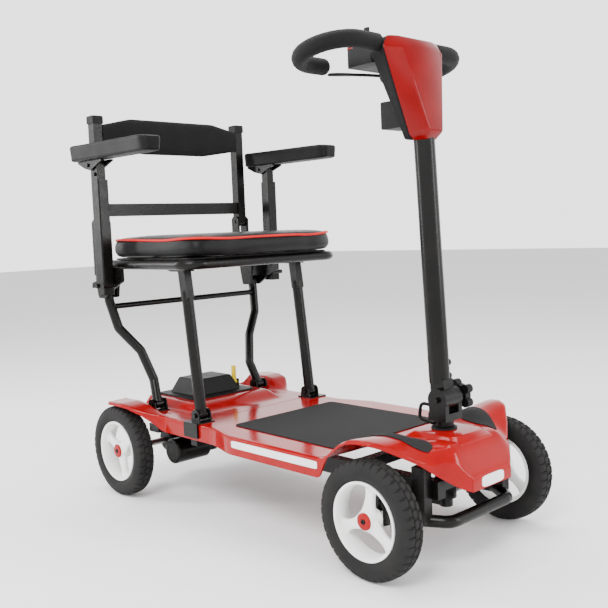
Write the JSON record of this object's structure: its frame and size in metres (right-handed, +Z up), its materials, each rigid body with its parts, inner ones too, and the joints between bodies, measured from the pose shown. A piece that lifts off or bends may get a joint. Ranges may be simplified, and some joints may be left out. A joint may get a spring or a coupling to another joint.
{
  "type": "mobility scooter",
  "caption": "Folding four-wheel mobility scooter with a padded seat, flip-up armrests, tilting tiller with looped hand grips and a battery drive.",
  "frame": {"origin": "on the floor, at the middle of the scooter's overall length and width", "axes": "+Z up, -Y is the direction of travel, +X is the rider's left"},
  "size_m": [0.54, 0.933, 0.927],
  "materials": {
    "tyre": "matte block tread",
    "rim_white": "satin painted white",
    "steel": "satin",
    "black_frame": "semi-gloss powder coat",
    "red_cover": "gloss",
    "black_plastic": "fine grain",
    "mat": "fine grit",
    "white_strip": "satin reflective",
    "cushion_vinyl": "satin vinyl with red piping",
    "grip_foam": "matte foam",
    "pad_black": "moulded soft-touch",
    "band_fabric": "padded fabric",
    "yellow_lever": "satin"
  },
  "bodies": {
    "root": {"chassis_frame": "black_frame", "front_axle_beam": "black_frame", "front_bumper": "black_frame", "front_body_cover": "red_cover", "rear_body_cover": "red_cover", "deck_mat": "mat", "side_strips": "white_strip", "nose_badge": "white_strip", "rear_panel": "black_plastic", "battery_pack": "black_plastic", "motor_controller": "black_plastic", "transaxle_housing": "black_plastic", "drive_motor": "black_frame", "front_leg_brackets": "black_frame", "rear_leg_brackets": "black_frame"},
    "left_knuckle": {"left_steering_knuckle": "steel"},
    "right_knuckle": {"right_steering_knuckle": "steel"},
    "tie_rod": {"steering_tie_rod": "steel"},
    "stem": {"steering_stem": "black_frame", "tiller_cable": "black_plastic"},
    "knob": {"tiller_knob": "black_plastic"},
    "tiller": {"tiller_column": "black_frame", "column_clamp_bolts": "black_frame", "head_front_cover": "red_cover", "head_rear_cover": "black_plastic", "charging_port_box": "black_plastic", "console_pod": "black_plastic", "handlebar_tube": "black_frame", "hand_grips": "grip_foam"},
    "throttle": {"throttle_lever": "black_plastic"},
    "key": {"ignition_key": "black_plastic"},
    "freewheel": {"freewheel_lever": "yellow_lever"},
    "front_legs": {"front_seat_legs": "black_frame"},
    "rear_legs": {"rear_seat_legs": "black_frame"},
    "seat": {"seat_frame": "black_frame", "seat_pan": "black_plastic", "seat_cushion": "cushion_vinyl", "seat_side_brackets": "black_frame", "left_armrest_post": "black_frame", "right_armrest_post": "black_frame"},
    "backrest": {"backrest_frame": "black_frame", "backrest_band": "band_fabric", "backrest_caps": "black_plastic"},
    "front_left_wheel": {"front_left_tyre": "tyre", "front_left_rim": "rim_white"},
    "rear_left_wheel": {"rear_left_tyre": "tyre", "rear_left_rim": "rim_white", "rear_left_axle": "steel"},
    "left_armrest": {"left_armrest_bracket": "black_frame", "left_armrest_pad": "pad_black"},
    "left_release": {"left_release_lever": "black_plastic"},
    "front_right_wheel": {"front_right_tyre": "tyre", "front_right_rim": "rim_white"},
    "rear_right_wheel": {"rear_right_tyre": "tyre", "rear_right_rim": "rim_white", "rear_right_axle": "steel"},
    "right_armrest": {"right_armrest_bracket": "black_frame", "right_armrest_pad": "pad_black"},
    "right_release": {"right_release_lever": "black_plastic"}
  },
  "joints": [
    {"name": "steering", "type": "hinge", "parent": "root", "child": "stem", "pos_m": [0, -0.3655, 0.15], "axis": [0, 0, 1], "range_deg": [-25, 25]},
    {"name": "left_knuckle_turn", "type": "hinge", "parent": "root", "child": "left_knuckle", "pos_m": [0.16, -0.3575, 0.1], "axis": [0, 0, 1], "range_deg": [-25, 25]},
    {"name": "right_knuckle_turn", "type": "hinge", "parent": "root", "child": "right_knuckle", "pos_m": [-0.16, -0.3575, 0.1], "axis": [0, 0, 1], "range_deg": [-25, 25]},
    {"name": "tie_rod_pivot", "type": "hinge", "parent": "stem", "child": "tie_rod", "pos_m": [0, -0.3205, 0.072], "axis": [0, 0, 1], "range_deg": [-25, 25]},
    {"name": "tiller_tilt", "type": "hinge", "parent": "stem", "child": "tiller", "pos_m": [0, -0.3695, 0.269], "axis": [1, 0, 0], "range_deg": [-25, 8]},
    {"name": "tiller_knob_turn", "type": "hinge", "parent": "stem", "child": "knob", "pos_m": [0, -0.3695, 0.269], "axis": [1, 0, 0], "range_deg": [-180, 180]},
    {"name": "throttle_push", "type": "hinge", "parent": "tiller", "child": "throttle", "pos_m": [0, -0.2575, 0.84], "axis": [0, 0, 1], "range_deg": [-15, 15], "stiffness_Nm_per_rad": 0.8},
    {"name": "key_turn", "type": "hinge", "parent": "tiller", "child": "key", "pos_m": [-0.025, -0.2355, 0.9], "axis": [0, 0, 1], "range_deg": [-90, 0]},
    {"name": "freewheel_lift", "type": "hinge", "parent": "root", "child": "freewheel", "pos_m": [0.076, 0.3185, 0.215], "axis": [1, 0, 0], "range_deg": [0, 50]},
    {"name": "front_left_wheel_spin", "type": "hinge", "parent": "left_knuckle", "child": "front_left_wheel", "pos_m": [0.192, -0.3575, 0.1], "axis": [1, 0, 0], "continuous": true},
    {"name": "front_right_wheel_spin", "type": "hinge", "parent": "right_knuckle", "child": "front_right_wheel", "pos_m": [-0.192, -0.3575, 0.1], "axis": [1, 0, 0], "continuous": true},
    {"name": "rear_left_wheel_spin", "type": "hinge", "parent": "root", "child": "rear_left_wheel", "pos_m": [0.209, 0.3665, 0.1], "axis": [1, 0, 0], "continuous": true},
    {"name": "rear_right_wheel_spin", "type": "hinge", "parent": "root", "child": "rear_right_wheel", "pos_m": [-0.209, 0.3665, 0.1], "axis": [1, 0, 0], "continuous": true},
    {"name": "seat_fold", "type": "hinge", "parent": "root", "child": "rear_legs", "pos_m": [0, 0.3125, 0.2], "axis": [1, 0, 0], "range_deg": [0, 92]},
    {"name": "front_leg_fold", "type": "hinge", "parent": "root", "child": "front_legs", "pos_m": [0, 0.1395, 0.2], "axis": [1, 0, 0], "range_deg": [0, 73]},
    {"name": "seat_level", "type": "hinge", "parent": "rear_legs", "child": "seat", "pos_m": [0, 0.3925, 0.45], "axis": [1, 0, 0], "range_deg": [-92, 0]},
    {"name": "backrest_fold", "type": "hinge", "parent": "seat", "child": "backrest", "pos_m": [0, 0.4205, 0.6], "axis": [1, 0, 0], "range_deg": [0, 88]},
    {"name": "left_armrest_flip", "type": "hinge", "parent": "seat", "child": "left_armrest", "pos_m": [0.239, 0.3675, 0.728], "axis": [-1, 0, 0], "range_deg": [0, 95]},
    {"name": "right_armrest_flip", "type": "hinge", "parent": "seat", "child": "right_armrest", "pos_m": [-0.239, 0.3675, 0.728], "axis": [-1, 0, 0], "range_deg": [0, 95]},
    {"name": "left_release_pull", "type": "hinge", "parent": "seat", "child": "left_release", "pos_m": [0.228, 0.3845, 0.474], "axis": [1, 0, 0], "range_deg": [0, 25], "stiffness_Nm_per_rad": 1},
    {"name": "right_release_pull", "type": "hinge", "parent": "seat", "child": "right_release", "pos_m": [-0.228, 0.3845, 0.474], "axis": [1, 0, 0], "range_deg": [0, 25], "stiffness_Nm_per_rad": 1}
  ],
  "couplings": [
    {"joint": "left_knuckle_turn", "follows": "steering", "ratio": 1},
    {"joint": "right_knuckle_turn", "follows": "steering", "ratio": 1},
    {"joint": "tie_rod_pivot", "follows": "steering", "ratio": -1},
    {"joint": "seat_level", "follows": "seat_fold", "ratio": -1},
    {"joint": "front_leg_fold", "follows": "seat_fold", "ratio": 0.785}
  ]
}
